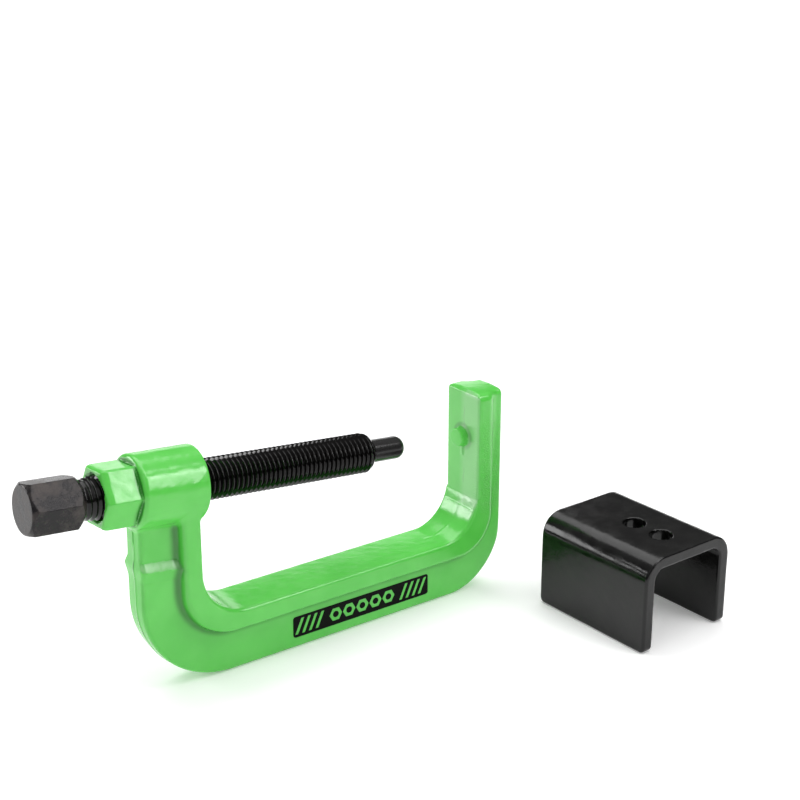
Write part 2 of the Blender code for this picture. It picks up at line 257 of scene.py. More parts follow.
def waves(x, y, z):
    """Slow unevenness of a forged and painted surface, between about -1 and 1."""
    total = np.sin(0.41 * x + 1.3 * np.sin(0.23 * z + 0.4) + 0.9)
    total = total + np.sin(0.37 * z - 0.31 * y + 1.1 * np.sin(0.19 * x))
    total = total + 0.7 * np.sin(0.83 * y + 0.57 * x + np.sin(0.61 * z))
    total = total + 0.5 * np.sin(1.27 * z - 0.9 * x + 1.4 * np.sin(0.7 * y))
    return total / 3.2


def screw_coordinates(x, z):
    """Station along the screw's axis, and height above it."""
    station = (x - AXIS_X) * cos(AXIS_DIP) - (z - AXIS_Z) * sin(AXIS_DIP)
    height = (x - AXIS_X) * sin(AXIS_DIP) + (z - AXIS_Z) * cos(AXIS_DIP)
    return station, height


def throat_line(x, z, leg_x, spine_z, arm_x, leg_radius, arm_radius, lean=0.0):
    """Distance to a line down the leg, along the spine and up the arm; negative on the throat's side."""
    leg = (leg_x + (z - LEAN_FROM_Z) * tan(lean) - x) * cos(lean)
    corner = round_max(leg, spine_z - z, leg_radius)
    return round_max(corner, x - arm_x, arm_radius)


def above_lip(x, z):
    """Height above the lip across the leg's web, which tilts down towards the throat."""
    return z - LIP_Z + LIP_TILT * (x - LIP_X)


def web_half_width(x, z):
    """The web swells to a lip on the leg, with a sloping step above it, and is thicker up the arm."""
    heights, half_widths = zip(*LIP_OUTLINE)
    leg = np.interp(above_lip(x, z), heights, half_widths)
    arm = WEB_HALF_WIDTH + 2.4 * ramp(z, 4, 44) * ramp(x, 56, 88)
    return np.where(x < ON_LEG_X, leg, arm)


def past_flange(x, side, z):
    """Distance from the flange's outer edge, positive on the web's side."""
    groove = throat_line(
        x,
        z,
        LEG_INNER_X - LEG_FLANGE,
        SPINE_TOP - SPINE_FLANGE,
        PAD_X + ARM_FLANGE,
        LEG_GROOVE_RADIUS,
        ARM_GROOVE_RADIUS,
    )
    return groove + GROOVE_DRAFT * (side - WEB_HALF_WIDTH)


def c_section(x, y, z):
    """The forging without its boss: flange and web, joined by a fillet."""
    side = np.abs(y)
    inner = throat_line(x, z, LEG_INNER_X, SPINE_TOP, ARM_INNER_X, LEG_INNER_RADIUS, ARM_INNER_RADIUS)
    leg_outer = LEG_INNER_X - LEG_DEPTH
    outer = throat_line(x, z, leg_outer, 0, PAD_X + ARM_DEPTH, HEEL_RADIUS, TOE_RADIUS, LEG_LEAN)
    outer = outer - np.where(x < ON_LEG_X, LIP_SWELL * bump(above_lip(x, z), 0, 4.0), 0)
    width = side - FLANGE_HALF_WIDTH
    flange = round_max(FLANGE_CROWN * y**2 - inner, width, FLANGE_INNER_EDGE)
    top_fade = np.where(x > 75, ramp(z, 70, 108), 0)
    outer_edge = FLANGE_OUTER_EDGE + 1.5 * top_fade
    flange = np.maximum(flange, round_max(past_flange(x, side, z), width, outer_edge))
    web = round_max(outer + DRAFT * side, side - web_half_width(x, z), WEB_EDGE)
    web = np.maximum(web, WEB_ROOT - inner)
    body = round_min(flange, web, WEB_FILLET + 2.5 * top_fade)
    seam_height = np.where((x < -92) & (z < 104), SEAM_HEIGHT, np.where(x > ON_ARM_X, 0.4 * SEAM_HEIGHT, 0))
    parting = seam_height * bump(y, SEAM_Y, 0.7)
    crack = np.where(x < -115, CRACK_DEPTH * bump(y, SEAM_Y + 0.3, 0.4) * ramp(z, 82, 87), 0)
    return body - parting + crack


def machined_pad(x, z):
    """What is cut away at the arm: the throat's side of the pad, and the slope under it."""
    slope = PAD_SLOPE[0] * (z - PAD_BOTTOM) - PAD_SLOPE[1] * (x - PAD_X)
    cut = round_max(x - PAD_X, -slope, 0.3)
    return np.maximum(cut, PAD_BOTTOM - PAD_SLOPE_DEPTH - z)


def hexagonal_bar(height, y, first_turn, half_flats, edge):
    """Distance to an endless hexagonal bar on the screw's axis, with its corners rounded."""
    bar = None
    for side in range(3):
        turn = first_turn + radians(30 + 60 * side)
        flat = np.abs(height * cos(turn) + y * sin(turn)) - half_flats
        bar = flat if bar is None else round_max(bar, flat, edge)
    return bar


def boss_and_collar(x, y, z):
    """The round boss with its wrench collar in front."""
    station, height = screw_coordinates(x, z)
    radius = np.hypot(height, y)
    swell = BOSS_SWELL * ramp(station, BOSS_FRONT + 0.3, 0)
    boss = round_max(radius - BOSS_RADIUS - swell, station, BOSS_REAR_EDGE)
    boss = round_max(boss, BOSS_FRONT - station, BOSS_FRONT_EDGE)
    hexagon = hexagonal_bar(height, y, COLLAR_TURN, COLLAR_HALF_FLATS, COLLAR_EDGE)
    hexagon = hexagon + 0.3 * bump(station, BOSS_FRONT, 0.8)
    into_chamfer = COLLAR_FRONT + COLLAR_CHAMFER_LENGTH - station
    chamfer = COLLAR_CHAMFER[0] * hexagon + COLLAR_CHAMFER[1] * into_chamfer
    collar = round_max(round_max(hexagon, chamfer, 0.5), COLLAR_FRONT - station, 0.8)
    collar = np.maximum(collar, station + 20)
    return round_min(boss, collar, 0.7)


def tapped_bore(x, y, z):
    """How deep inside the bore a point is, negative in the metal. The mouth has a ragged rim of paint."""
    station, height = screw_coordinates(x, z)
    angle = np.arctan2(y, height)
    ragged = 0.25 * np.sin(5 * angle + 0.7) + 0.18 * np.sin(11 * angle) + 0.12 * np.sin(23 * angle + 2)
    at_mouth = ramp(-station, -COLLAR_FRONT - MOUTH_DEPTH, -COLLAR_FRONT)
    mouth = (MOUTH_RADIUS + ragged - BORE_RADIUS) * at_mouth
    rear = 0.9 * ramp(station, -1.0, 0.0)
    return np.where(station < 30, BORE_RADIUS + mouth + rear - np.hypot(height, y), -FAR)


def pin_flare(x, y, z, body):
    """Paint gathered round the foot of the locating pin, with a run below it."""
    around = np.hypot(y, z - PIN_Z)
    stub = np.maximum(around - PIN_RADIUS - 0.05, PAD_X - 1.6 - x)
    stub = np.maximum(stub, x - PAD_X - 4)
    body = round_min(body, stub, PIN_FLARE)
    drop_z = np.clip(z, PIN_Z - RUN_BELOW[0], PIN_Z - RUN_BELOW[1])
    width = RUN_WIDTH + 0.12 * (drop_z - PIN_Z + RUN_BELOW[0])
    run = np.sqrt((x - PAD_X - 0.2) ** 2 + y**2 + (z - drop_z) ** 2) - width
    return round_min(body, run, 1.0)


def finished_arm(x, y, z, body):
    """The arm with its crowned top, its bevel, its machined pad and the paint round the locating pin."""
    width = np.abs(y) - FLANGE_HALF_WIDTH
    cap = np.maximum(np.maximum(width, np.abs(x - PAD_X) - CAP_HALF_DEPTH), ARM_TOP - CAP_HEIGHT - z)
    arm_top = round_max(np.minimum(body, cap), z - ARM_TOP + ARM_TOP_CROWN * y**2, ARM_TOP_EDGE)
    bevel = np.where(x > ON_ARM_X, (PAD_X - x + z - ARM_TOP + BEVEL_OFFSET) * sqrt(0.5), -FAR)
    pad = np.where(x > ON_ARM_X, machined_pad(x, z), FAR)
    arm = round_max(round_max(arm_top, -pad, 0.5), bevel, 0.3)
    pad_edge = round_max(PAD_X - x, width, PAD_EDGE)
    arm = np.maximum(arm, np.where((x > ON_ARM_X) & (z > PAD_BOTTOM), pad_edge, -FAR))
    return pin_flare(x, y, z, arm)


def forging(x, y, z):
    """The whole frame: leg and boss on the left, arm on the right, with the bore cut through."""
    body = c_section(x, y, z)
    height = screw_coordinates(x, z)[1]
    leg = round_min(np.maximum(body, height), boss_and_collar(x, y, z), BOSS_FILLET)
    whole = np.where(x < 0, leg, finished_arm(x, y, z, body))
    whole = round_max(whole, tapped_bore(x, y, z), BORE_EDGE)
    flat = ramp(np.abs(y), 9.5, 12) * (1 - bump(x, PAD_X, 3))
    return whole - 0.06 * waves(x, y, z) * np.maximum(flat, 0.5)


def hex_head(x, y, z):
    """The screw's head: a hexagonal bar whose corners are turned off at both ends."""
    station, height = screw_coordinates(x, z)
    radius = np.hypot(height, y)
    bar = hexagonal_bar(height, y, HEAD_TURN, HEAD_HALF_FLATS, HEAD_EDGE)
    # 0.69 and 0.7 turn the two slopes back into distances.
    front = (radius - HEAD_FACE_RADIUS + (HEAD_FRONT - station) * HEAD_FRONT_CHAMFER) * 0.69
    rear = (radius - HEAD_FACE_RADIUS + HEAD_REAR_DROP + (station - HEAD_REAR) * HEAD_REAR_CHAMFER) * 0.7
    bar = round_max(bar, front, HEAD_EDGE)
    bar = round_max(bar, rear, HEAD_EDGE)
    bar = round_max(bar, HEAD_FRONT - station, HEAD_END_EDGE)
    bar = round_max(bar, station - HEAD_REAR, HEAD_END_EDGE)
    return bar - 0.02 * waves(2 * x, 2 * y, 2 * z)


def bent_plate(x, y, z):
    """The spacer adapter: a channel bent from plate, with its cut edges rounded."""
    across = (x - ADAPTER_CENTRE[0]) * cos(ADAPTER_TURN) + (y - ADAPTER_CENTRE[1]) * sin(ADAPTER_TURN)
    along = (y - ADAPTER_CENTRE[1]) * cos(ADAPTER_TURN) - (x - ADAPTER_CENTRE[0]) * sin(ADAPTER_TURN)
    side = np.abs(across)
    outside = round_max(side - ADAPTER_WIDTH / 2, z - ADAPTER_HEIGHT, ADAPTER_BEND)
    inner_bend = ADAPTER_BEND - ADAPTER_PLATE
    inner_side = side - ADAPTER_WIDTH / 2 + ADAPTER_PLATE
    inside = round_max(inner_side, z - ADAPTER_HEIGHT + ADAPTER_PLATE, inner_bend)
    ends = np.abs(along) - ADAPTER_LENGTH / 2
    swell = 0.35 * bump(side, ADAPTER_WIDTH / 2 - 2, 5) * bump(z, ADAPTER_HEIGHT - 2, 5)
    rim = round_max(ends - swell, -z, ADAPTER_CORNER)
    plate = np.maximum(round_max(outside, rim, ADAPTER_EDGE), round_max(-inside, rim, ADAPTER_EDGE))
    for distance in ADAPTER_HOLES:
        hole = ADAPTER_HOLE_RADIUS - np.hypot(across, along - distance + ADAPTER_LENGTH / 2)
        drilled = round_max(plate, hole, ADAPTER_HOLE_EDGE)
        plate = np.where(z > ADAPTER_HEIGHT / 2, drilled, plate)
    return plate - 0.05 * waves(0.6 * x, 0.6 * y, 0.6 * z)


# ---------------------------------------------------------------- meshes


def axis_points(low, high, step, fine=None):
    """Grid lines from low to high, closer together between the two ends of fine."""
    lines = np.arange(low, high + step, step)
    if fine is None:
        return lines
    kept = lines[(lines < fine[0] - 0.2 * step) | (lines > fine[1] + 0.2 * step)]
    return np.unique(np.concatenate([kept, np.arange(fine[0], fine[1] + 0.01, fine[2])]))


def cell_points(value, lines, cells):
    """A point in each cell that the surface crosses: the mean of its crossings of the cell's edges."""
    total = np.zeros((len(cells), 3))
    count = np.zeros(len(cells))
    corners = [np.array([i & 1, i >> 1 & 1, i >> 2 & 1]) for i in range(8)]
    for a in corners:
        for b in corners:
            if (b - a).sum() != 1 or np.abs(b - a).sum() != 1:
                continue
            start, end = cells + a, cells + b
            start_value = value[tuple(start.T)]
            end_value = value[tuple(end.T)]
            crossed = (start_value < 0) != (end_value < 0)
            share = np.where(crossed, start_value / np.where(crossed, start_value - end_value, 1), 0)
            first = np.stack([lines[i][start[:, i]] for i in range(3)], 1)
            last = np.stack([lines[i][end[:, i]] for i in range(3)], 1)
            total += np.where(crossed[:, None], first + share[:, None] * (last - first), 0)
            count += crossed
    return total / count[:, None]


def cell_quads(inside, numbers):
    """A quad across each grid edge that the surface crosses, through the four cells round that edge."""
    quads = []
    for axis in range(3):
        b, c = (axis + 1) % 3, (axis + 2) % 3
        low = [slice(None)] * 3
        high = [slice(None)] * 3
        low[axis], high[axis] = slice(None, -1), slice(1, None)
        for other in (b, c):
            low[other] = high[other] = slice(1, -1)
        first, second = inside[tuple(low)], inside[tuple(high)]
        at = np.argwhere(first != second)
        out = first[tuple(at.T)]
        ring = []
        for step_b, step_c in ((0, 0), (1, 0), (1, 1), (0, 1)):
            cell = at.copy()
            cell[:, b] += step_b
            cell[:, c] += step_c
            ring.append(numbers[tuple(cell.T)])
        ring = np.stack(ring, 1)
        quads.append(np.where(out[:, None], ring, ring[:, ::-1]))
    return np.concatenate(quads)


def gradient(solid, points, reach):
    """How fast the distance grows at each point along x, y and z."""
    parts = []
    for axis in range(3):
        offset = np.zeros(3)
        offset[axis] = reach
        ahead = solid(*(points + offset).T)
        behind = solid(*(points - offset).T)
        parts.append((ahead - behind) / (2 * reach))
    return np.stack(parts, 1)


def surface_mesh(solid, lines):
    """Points on the solid's surface, quads between them and the normals there."""
    grid = np.meshgrid(*[line.astype(np.float32) for line in lines], indexing="ij", sparse=True)
    value = solid(*grid)
    inside = value < 0
    corners = sum(
        inside[i : i - 1 or None, j : j - 1 or None, k : k - 1 or None].astype(np.int8)
        for i in (0, 1)
        for j in (0, 1)
        for k in (0, 1)
    )
    crossed = (corners > 0) & (corners < 8)
    cells = np.argwhere(crossed)
    numbers = np.full(crossed.shape, -1)
    numbers[crossed] = np.arange(len(cells))
    points = cell_points(value, lines, cells)
    step = min(np.diff(line).max() for line in lines)
    for _ in range(4):
        slope = gradient(solid, points, 0.05)
        move = solid(*points.T)[:, None] * slope / np.maximum((slope**2).sum(1), 0.1)[:, None]
        points -= np.clip(move, -step / 2, step / 2)
    normals = gradient(solid, points, 0.12)
    normals /= np.linalg.norm(normals, axis=1)[:, None]
    return points, cell_quads(inside, numbers), normals


def add_mesh(name, points, faces, material, body, normals=None, sharp=None):
    """Makes the object in metres, with the given normals or with edges above an angle kept sharp."""
    mesh = bpy.data.meshes.new(name)
    mesh.from_pydata((np.asarray(points) * MM).tolist(), [], [list(face) for face in faces])
    mesh.validate()
    mesh.materials.append(material)
    mesh.shade_smooth()
    if normals is not None and len(mesh.vertices) == len(normals):
        mesh.normals_split_custom_set_from_vertices(normals.tolist())
    if sharp is not None:
        mesh.set_sharp_from_angle(angle=radians(sharp))
    piece = bpy.data.objects.new(name, mesh)
    bpy.context.scene.collection.objects.link(piece)
    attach(piece, body)
    return piece


def add_values(piece, name, values):
    attribute = piece.data.attributes.new(name, "FLOAT", "POINT")
    attribute.data.foreach_set("value", values.astype(np.float32))


def corner_shade(solid, points, normals, reach):
    """How deep each point lies in an inside corner, from 0 to 1: the strength of the painted shade there."""
    return np.clip(1 - solid(*(points + normals * reach).T) / reach, 0, 1)


def root_shade(points):
    """Painted shade along the root between web and flange, darkest down the leg."""
    x, y, z = points.T
    side = np.abs(y)
    across = past_flange(x, side, z)
    across = np.maximum(across, 0) + np.maximum(-ROOT_REACH - across, 0)
    above = np.maximum(side - web_half_width(x, z), 0)
    fade = np.where(x > 0, 0.85 * ramp(z, 30, 75), ramp(z, 91, 97))
    strength = (0.6 + 0.15 * ramp(-x, 60, 100)) * (1 - fade)
    return strength * np.exp(-(across**2 + above**2) / ROOT_REACH**2)


def seam(points):
    """The dark line that the forging's trimmed flash leaves down the outside of the leg and the pad."""
    x, y, z = points.T
    wander = 0.25 * np.sin(0.31 * z) + 0.15 * np.sin(0.83 * z + 1)
    broken = 0.35 + 0.65 * ramp(np.sin(0.19 * z + 0.6) + 0.6 * np.sin(0.47 * z), -0.2, 0.6)
    leg = np.where((x < -112) & (z < 100), broken, 0)
    pad = np.where((x > 80) & (x < 92) & (z > 48), 0.6 * broken, 0)
    return bump(y, SEAM_Y + wander, 0.42) * (leg + pad)


def painted_sheen_places(points, normals):
    """Where paler colour is painted as highlights and reflections: the anvil pad with its ends, and the
    leg's small ledge.
    """
    x, y, z = points.T
    faces_throat = ramp(-normals[:, 0], 0.5, 0.9)
    # the pad's front half is painted paler, as a reflection
    front_sheen = 0.5 * ramp(-y, -4, 2) + 0.4
    at_ends = 0.7 * bump(z, PAD_BOTTOM - 2.5, 2.2) + 0.8 * ramp(z, ARM_TOP - 3.6, ARM_TOP - 2.8)
    pad = faces_throat * ramp(x, 80, 84) * ramp(z, 45, 47) * (front_sheen + at_ends * ramp(-y, 1, 3))
    faces_up = ramp(normals[:, 2], 0.2, 0.35) * (1 - ramp(normals[:, 2], 0.75, 0.9))
    ledge = faces_up * ramp(-x, 100, 103) * bump(above_lip(x, z), 2.4, 2.6) * ramp(-y, 6, 7.5)
    return pad + 1.1 * ledge


def grainy_paint(points):
    """Where grit shows through the paint: the front of the arm and of its corner."""
    x, y, z = points.T
    return ramp(x, 84, 92) * ramp(z, 40, 62) * (1 - ramp(z, 96, 112)) * ramp(-y, 9, 11)


def along_screw(radius, turn, station):
    """Points round the screw's axis. turn goes from the top towards -Y: clockwise, seen from the head."""
    up = radius * np.cos(turn)
    x = AXIS_X + station * cos(AXIS_DIP) + up * sin(AXIS_DIP)
    z = AXIS_Z - station * sin(AXIS_DIP) + up * cos(AXIS_DIP)
    return np.stack(np.broadcast_arrays(x, -radius * np.sin(turn), z), -1)


def turned(profile, steps, place):
    """A closed profile of (radius, station) from axis to axis, turned; place puts it in the world."""
    points = []
    rows = []
    for radius, station in profile:
        count = 1 if radius == 0 else steps
        rows.append(list(range(len(points), len(points) + count)))
        for i in range(count):
            points.append(place(radius, 2 * pi * i / steps, station))
    faces = []
    for low, high in zip(rows, rows[1:]):
        for i in range(steps):
            j = (i + 1) % steps
            ring = [low[i % len(low)], low[j % len(low)], high[j % len(high)], high[i % len(high)]]
            face = [v for n, v in enumerate(ring) if v not in ring[:n]]
            faces.append(face)
    return np.array(points).reshape(-1, 3), faces


def thread_radius(turns, station):
    """The thread's surface: turns is the phase along one pitch, from crest to crest."""
    phase = np.abs((turns % 1.0) - 0.5) * 2
    profile = np.clip((phase - THREAD_ROOT) / THREAD_FLANKS, 0, 1)
    depth = THREAD_DEPTH * ramp(station, *THREAD_DEEPENS)
    crest = NECK_RADIUS + (THREAD_RADIUS - NECK_RADIUS) * ramp(station, *THREAD_WIDENS)
    radius = crest - depth * (1 - profile)
    chamfer = THREAD_RADIUS - 0.95 * (station - SCREW_END + SCREW_END_CHAMFER)
    return np.minimum(radius, np.maximum(chamfer, NOSE_RADIUS + 0.7))


def helical_thread():
    """A grid whose rows follow the helix. Rows that pass an end of the screw are held on its plane."""
    around, along = 72, 14  # points in a turn, and rows in a pitch
    count = int((SCREW_END - NECK_START) / THREAD_PITCH * along) + along
    turn = 2 * pi * np.arange(around) / around
    row = np.arange(-along, count + along)
    station = NECK_START + THREAD_PITCH * (row[:, None] / along + turn[None, :] / (2 * pi))
    phase = station / THREAD_PITCH - turn[None, :] / (2 * pi)
    held = np.clip(station, NECK_START, SCREW_END)
    points = along_screw(thread_radius(phase, held), turn[None, :], held).reshape(-1, 3)
    faces = []
    for i in range(len(row) - 1):
        for k in range(around):
            low, high = i * around + k, (i + 1) * around + k
            if k + 1 < around:
                faces.append([low, high, high + 1, low + 1])
            elif i + along + 1 < len(row):
                faces.append([low, high, (i + along + 1) * around, (i + along) * around])
    return points, faces


# ---------------------------------------------------------------- materials


RANGE_SOCKETS = ("From Min", "From Max", "To Min", "To Max")


class Nodes:
    """Short calls for building a procedural material."""

    def __init__(self, name):
        self.material = bpy.data.materials.new(name)
        self.material.use_nodes = True
        self.tree = self.material.node_tree
        self.shader = self.tree.nodes["Principled BSDF"]
        self.place = self.add("ShaderNodeTexCoord").outputs["Object"]

    def add(self, kind, **values):
        node = self.tree.nodes.new(kind)
        for key, value in values.items():
            setattr(node, key, value)
        return node

    def link(self, start, end):
        self.tree.links.new(start, end)

    def set(self, name, value):
        self.shader.inputs[name].default_value = value

    def noise(self, scale, detail=3.0, roughness=0.5, stretch=None):
        node = self.add("ShaderNodeTexNoise")
        node.inputs["Scale"].default_value = scale
        node.inputs["Detail"].default_value = detail
        node.inputs["Roughness"].default_value = roughness
        if stretch is None:
            self.link(self.place, node.inputs["Vector"])
        else:
            mapping = self.add("ShaderNodeMapping")
            mapping.inputs["Scale"].default_value = stretch
            self.link(self.place, mapping.inputs["Vector"])
            self.link(mapping.outputs["Vector"], node.inputs["Vector"])
        return node.outputs["Fac"]

    def remap(self, value, low, high, to_low, to_high):
        node = self.add("ShaderNodeMapRange", interpolation_type="SMOOTHSTEP")
        for name, number in zip(RANGE_SOCKETS, (low, high, to_low, to_high)):
            node.inputs[name].default_value = number
        self.link(value, node.inputs["Value"])
        return node.outputs["Result"]

    def mix(self, factor, first, second):
        node = self.add("ShaderNodeMix", data_type="RGBA")
        self.link(factor, node.inputs["Factor"])
        for socket, colour in ((node.inputs["A"], first), (node.inputs["B"], second)):
            if isinstance(colour, tuple):
                socket.default_value = (*colour, 1)
            else:
                self.link(colour, socket)
        return node.outputs["Result"]

    def bump(self, height, distance, strength=1.0, below=None):
        node = self.add("ShaderNodeBump")
        node.inputs["Strength"].default_value = strength
        node.inputs["Distance"].default_value = distance
        self.link(height, node.inputs["Height"])
        if below is not None:
            self.link(below, node.inputs["Normal"])
        return node.outputs["Normal"]

    def finish(self, colour=None, roughness=None, normal=None):
        for name, output in (("Base Color", colour), ("Roughness", roughness), ("Normal", normal)):
            if output is not None:
                self.link(output, self.shader.inputs[name])
        return self.material


def colour(red, green, blue):
    """Linear colour from display values between 0 and 255."""
    return tuple(((v / 255 + 0.055) / 1.055) ** 2.4 if v > 10 else v / 3295 for v in (red, green, blue))


def green_enamel():
    """Thick glossy enamel over a forging: orange peel, a slow colour shift, painted shade in inside corners
    and painted highlights on the pad and the leg's ledge.
    """
    m = Nodes("green_enamel")
    shift = m.remap(m.noise(38, 3), 0.3, 0.7, 0, 1)
    base = m.mix(shift, colour(84, 197, 72), colour(94, 205, 82))
    painted_corner_shade = m.add("ShaderNodeAttribute", attribute_name="corner_shade").outputs["Fac"]
    # painted shade: darker green in inside corners and along the root
    base = m.mix(m.remap(painted_corner_shade, 0.04, 0.7, 0, 0.9), base, colour(34, 122, 30))
    flash = m.add("ShaderNodeAttribute", attribute_name="seam").outputs["Fac"]
    base = m.mix(m.remap(flash, 0.1, 0.9, 0, 0.75), base, colour(40, 110, 38))
    # painted highlight: paler green where highlights and reflections fall on the pad and the leg's ledge
    painted_sheen = m.add("ShaderNodeAttribute", attribute_name="painted_sheen").outputs["Fac"]
    base = m.mix(m.remap(painted_sheen, 0, 1.5, 0, 0.7), base, colour(168, 212, 165))
    m.set("IOR", 1.58)
    peel = m.bump(m.noise(520, 2, 0.45), 0.00006, 0.35)
    rough_skin = m.bump(m.noise(300, 3, 0.55), 0.00025, 0.28, peel)
    grain = m.add("ShaderNodeMath", operation="MULTIPLY")
    m.link(m.add("ShaderNodeAttribute", attribute_name="grain").outputs["Fac"], grain.inputs[0])
    m.link(m.remap(m.noise(1300, 3, 0.6), 0.45, 0.75, 0, 1), grain.inputs[1])
    gritty = m.bump(grain.outputs["Value"], 0.0004, 0.5, rough_skin)
    return m.finish(base, m.remap(m.noise(180, 2), 0.35, 0.7, 0.13, 0.22), gritty)


def thread_black():
    """Oiled black oxide on a rolled thread."""
    m = Nodes("thread_black")
    base = m.mix(m.noise(500, 3), colour(3, 3, 3), colour(10, 9, 8))
    m.set("IOR", 1.38)
    roughness = m.remap(m.noise(700, 3), 0.35, 0.7, 0.06, 0.13)
    return m.finish(base, roughness, m.bump(m.noise(1100, 2), 0.00003, 0.2))


def head_black():
    """Satin oxide on the forged head, mottled brown-grey where it has been handled."""
    m = Nodes("head_black")
    patch = m.remap(m.noise(95, 5, 0.62), 0.42, 0.66, 0, 1)
    base = m.mix(patch, colour(24, 22, 25), colour(66, 60, 58))
    fine = m.remap(m.noise(1300, 3), 0.35, 0.75, 0, 0.5)
    base = m.mix(fine, base, colour(40, 37, 36))
    m.set("IOR", 1.40)
    m.set("Metallic", 0.3)
    return m.finish(base, m.remap(patch, 0, 1, 0.26, 0.38), m.bump(m.noise(900, 4), 0.00008, 0.6))


def nose_black():
    """Satin black oxide with faint turning marks round the pin."""
    m = Nodes("nose_black")
    base = m.mix(m.noise(60, 3), colour(18, 17, 17), colour(25, 24, 24))
    rings = m.noise(40, 2, 0.5, (60, 1, 1))
    m.set("IOR", 1.45)
    roughness = m.remap(m.noise(800, 3), 0.3, 0.7, 0.22, 0.26)
    return m.finish(base, roughness, m.bump(rings, 0.000004, 0.1))


def adapter_black():
    """Glossy black coat over mill-scaled plate, its tone shifting at random."""
    m = Nodes("adapter_black")
    base = m.mix(m.remap(m.noise(60, 4), 0.35, 0.7, 0, 1), colour(5, 5, 5), colour(15, 15, 14))
    m.set("IOR", 1.40)
    wave = m.bump(m.noise(70, 3, 0.5), 0.0004, 0.35)
    peel = m.bump(m.noise(800, 2), 0.00008, 0.5, wave)
    return m.finish(base, m.remap(m.noise(120, 4), 0.35, 0.7, 0.12, 0.24), peel)


def print_black():
    """Flat ink that follows the paint's orange peel."""
    m = Nodes("print_black")
    base = m.mix(m.noise(700, 3), colour(2, 2, 2), colour(7, 8, 7))
    m.set("Specular IOR Level", 0.08)
    roughness = m.remap(m.noise(900, 2), 0.3, 0.7, 0.35, 0.5)
    return m.finish(base, roughness, m.bump(m.noise(520, 2, 0.45), 0.00006, 0.35))


def bearing_steel():
    """Ground steel, for the ball and the ring hidden in the screw's nose."""
    m = Nodes("bearing_steel")
    base = m.mix(m.noise(400, 3), (0.50, 0.50, 0.51), (0.62, 0.62, 0.63))
    m.set("Metallic", 1.0)
    roughness = m.remap(m.noise(600, 3), 0.3, 0.7, 0.12, 0.22)
    return m.finish(base, roughness, m.bump(m.noise(2000, 2), 0.00002, 0.4))


def floor_white():
    """Plain white paper that glows more towards the back, so that it fades into a white background."""
    m = Nodes("floor_white")
    base = m.mix(m.noise(3, 2), (0.90, 0.90, 0.90), (0.92, 0.92, 0.92))
    m.set("Specular IOR Level", 0.1)
    m.set("Emission Color", (1, 1, 1, 1))
    split = m.add("ShaderNodeSeparateXYZ")
    m.link(m.place, split.inputs["Vector"])
    m.link(m.remap(split.outputs["Y"], 0.4, 2.6, 0.2, 0.55), m.shader.inputs["Emission Strength"])
    return m.finish(base, m.remap(m.noise(5, 2), 0.3, 0.7, 0.75, 0.85))


# ---------------------------------------------------------------- pieces


def choose(steps):
    return steps[0]


def grid_lines(box, step):
    """Grid lines through the box along x, y and z."""
    return [axis_points(low, high, step) for low, high in box]


def make_forging(material):
    step = choose(FORGING_STEPS)
    lines = grid_lines(FORGING_BOX, step)
    lines[1] = axis_points(*FORGING_BOX[1], step, (*SEAM_BAND, step * SEAM_FINENESS))
    points, quads, normals = surface_mesh(forging, lines)
    piece = add_mesh("frame_forging", points, quads, material, "frame", normals)
    # painted shade in inside corners and along the root
    add_values(piece, "corner_shade", np.maximum(corner_shade(forging, points, normals, 4.0), root_shade(points)))
    add_values(piece, "seam", seam(points))
    # painted highlights on the pad and the leg's ledge
    add_values(piece, "painted_sheen", painted_sheen_places(points, normals))
    add_values(piece, "grain", grainy_paint(points))
    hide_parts("c_frame")


def rounded_end(radius, end, rounding, steps=6):
    """Profile points round the end of a turned piece, ending on its axis."""
    points = []
    for i in range(steps + 1):
        angle = pi / 2 * i / steps
        points.append((radius - rounding + rounding * cos(angle), end - rounding + rounding * sin(angle)))
    return points + [(0, end)]


def make_locating_pin(material):
    def on_pad(radius, turn, out):
        return [PAD_X - out, radius * sin(turn), PIN_Z + radius * cos(turn)]

    profile = [(0, -PIN_HIDDEN), (PIN_RADIUS, -PIN_HIDDEN), (PIN_RADIUS + 0.15, 2.0), (PIN_RADIUS, 3.2)]
    profile += rounded_end(PIN_RADIUS, PIN_OUT, 0.7)
    points, faces = turned(profile, 40, on_pad)
    piece = add_mesh("locating_pin_painted", points, faces, material, "frame", sharp=50)
    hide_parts("locating_pin")


def make_screw(thread_finish, head_finish, nose_finish):
    points, faces = helical_thread()
    thread = add_mesh("forcing_screw_thread", points, faces, thread_finish, "screw", sharp=60)
    close_ends(thread)
    points, quads, normals = surface_mesh(hex_head, grid_lines(HEAD_BOX, choose(HEAD_STEPS)))
    head = add_mesh("forcing_screw_head", points, quads, head_finish, "screw", normals)
    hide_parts("forcing_screw")
    profile = [(0, NOSE_HIDDEN), (NOSE_RADIUS, NOSE_HIDDEN)]
    profile += rounded_end(NOSE_RADIUS, NOSE_TIP, NOSE_ROUND, 10)
    points, faces = turned(profile, 48, along_screw)
    nose = add_mesh("thrust_pin_nose", points, faces, nose_finish, "tip", sharp=50)
    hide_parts("thrust_pin")


def close_ends(thread):
    """Merges the points held on each end's plane, then closes the rim that is left."""
    shape = bmesh.new()
    shape.from_mesh(thread.data)
    bmesh.ops.remove_doubles(shape, verts=shape.verts, dist=0.00002)
    bmesh.ops.dissolve_degenerate(shape, edges=shape.edges, dist=0.000005)
    rims = [edge for edge in shape.edges if edge.is_boundary]
    bmesh.ops.holes_fill(shape, edges=rims, sides=0)
    bmesh.ops.recalc_face_normals(shape, faces=shape.faces)
    shape.to_mesh(thread.data)
    shape.free()


def make_adapter(material):
    points, quads, normals = surface_mesh(bent_plate, grid_lines(ADAPTER_BOX, choose(ADAPTER_STEPS)))
    piece = add_mesh("spacer_adapter_plate", points, quads, material, "adapter", normals)
    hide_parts("spacer_adapter")


